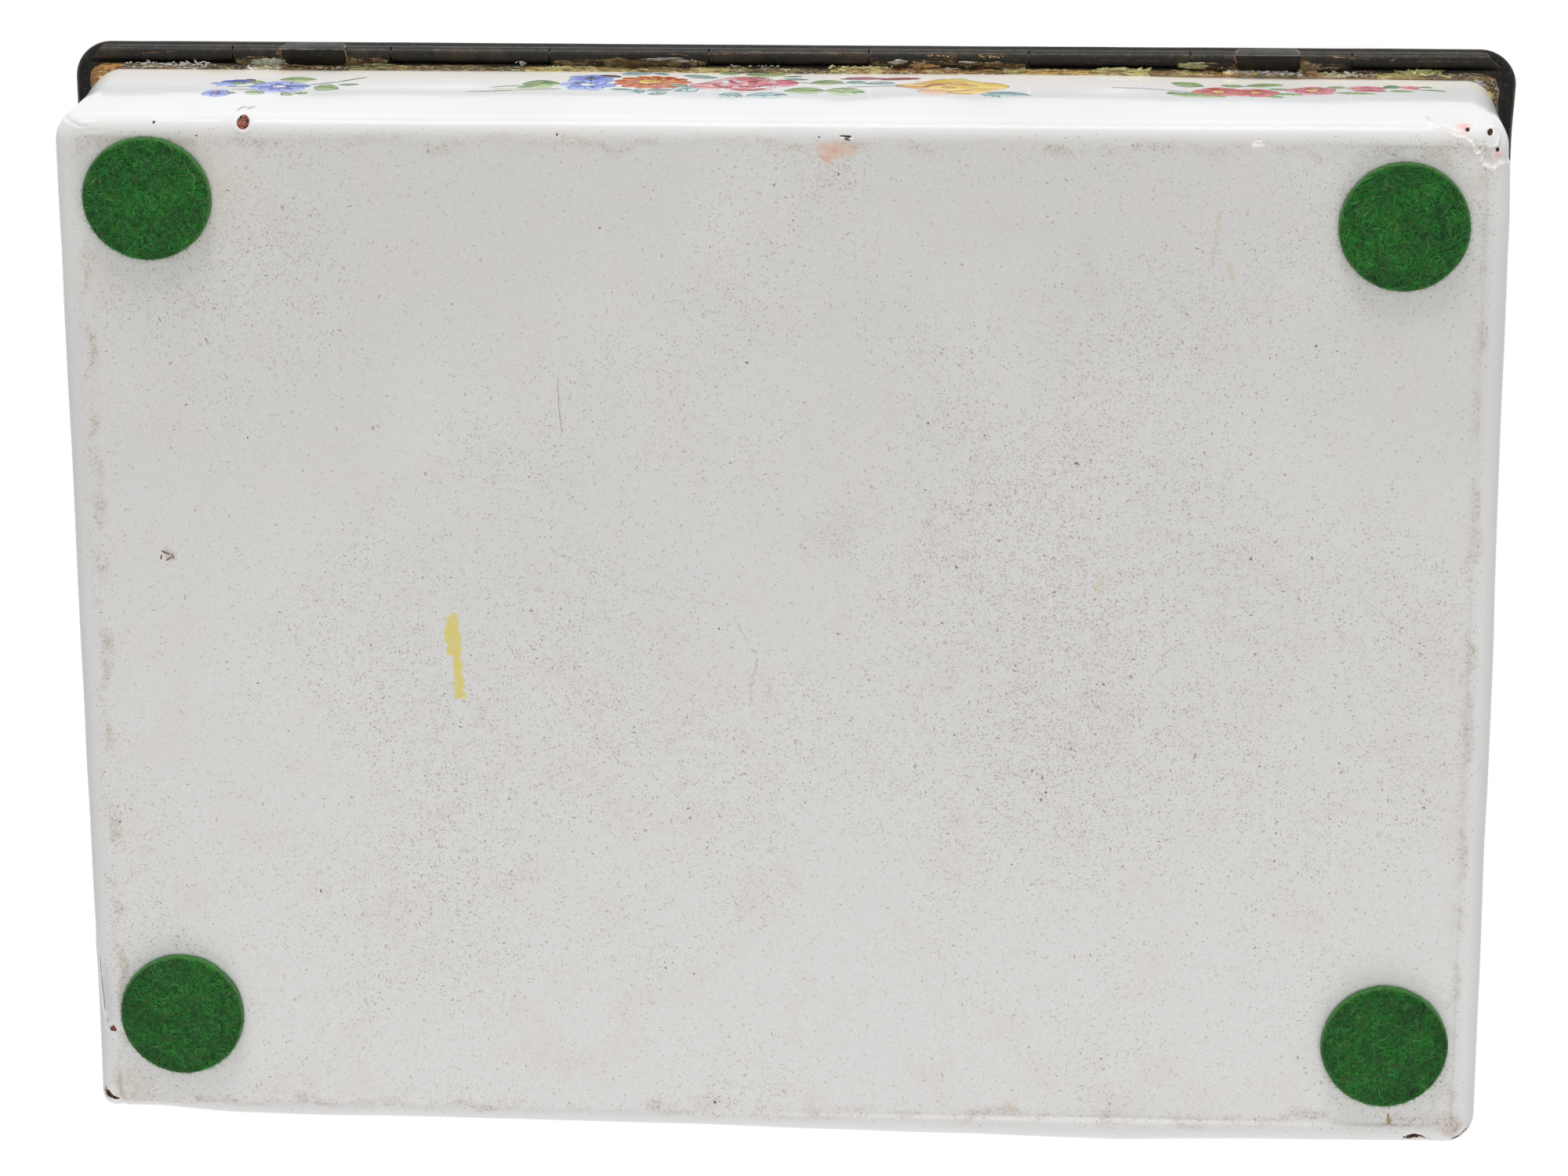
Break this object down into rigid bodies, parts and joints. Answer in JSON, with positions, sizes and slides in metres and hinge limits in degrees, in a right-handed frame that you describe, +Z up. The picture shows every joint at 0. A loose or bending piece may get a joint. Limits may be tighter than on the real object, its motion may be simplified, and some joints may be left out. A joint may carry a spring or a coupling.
{
  "type": "enamelled card box",
  "caption": "Hinged enamelled box for playing cards, with dark metal mounts, a domed lid, a stop hinge and felt dots underneath.",
  "frame": {"origin": "middle of the bounding box at the level of the undersides of the felt dots, on which the closed box stands", "axes": "+Z up, -Y to the front of the box, +Y to the hinge, +X to the right of someone who faces the front"},
  "size_m": [0.145, 0.1126, 0.0344],
  "materials": {
    "enamel_base": "glossy white vitreous enamel on copper, speckled and worn warm grey underneath",
    "enamel_lid": "glossy white vitreous enamel on copper",
    "mount_metal": "dark brown-black patina, rubbed to copper on the edges",
    "hinge_metal": "dark brown-black patina, rubbed to copper on the edges",
    "pin_metal": "dull drawn wire",
    "cement": "crumbly yellow-brown cement",
    "felt": "green wool felt"
  },
  "bodies": {
    "base": {"base_pan": "enamel_base", "base_rim": "mount_metal", "base_cement": "cement", "base_knuckle_1": "hinge_metal", "base_knuckle_2": "hinge_metal", "base_knuckle_3": "hinge_metal", "base_knuckle_4": "hinge_metal", "hinge_pin": "pin_metal", "stop_block_left": "mount_metal", "stop_block_right": "mount_metal", "pad_back_left": "felt", "pad_back_right": "felt", "pad_front_left": "felt", "pad_front_right": "felt"},
    "lid": {"lid_pan": "enamel_lid", "lid_rim": "mount_metal", "lid_cement": "cement", "thumbpiece": "mount_metal", "lid_knuckle_1": "hinge_metal", "lid_knuckle_2": "hinge_metal", "lid_knuckle_3": "hinge_metal", "lid_knuckle_4": "hinge_metal", "lid_knuckle_5": "hinge_metal"}
  },
  "joints": [
    {"name": "lid_hinge", "type": "hinge", "parent": "base", "child": "lid", "pos_m": [0, 0.05516, 0.02415], "axis": [-1, 0, 0], "range_deg": [0, 100]}
  ]
}
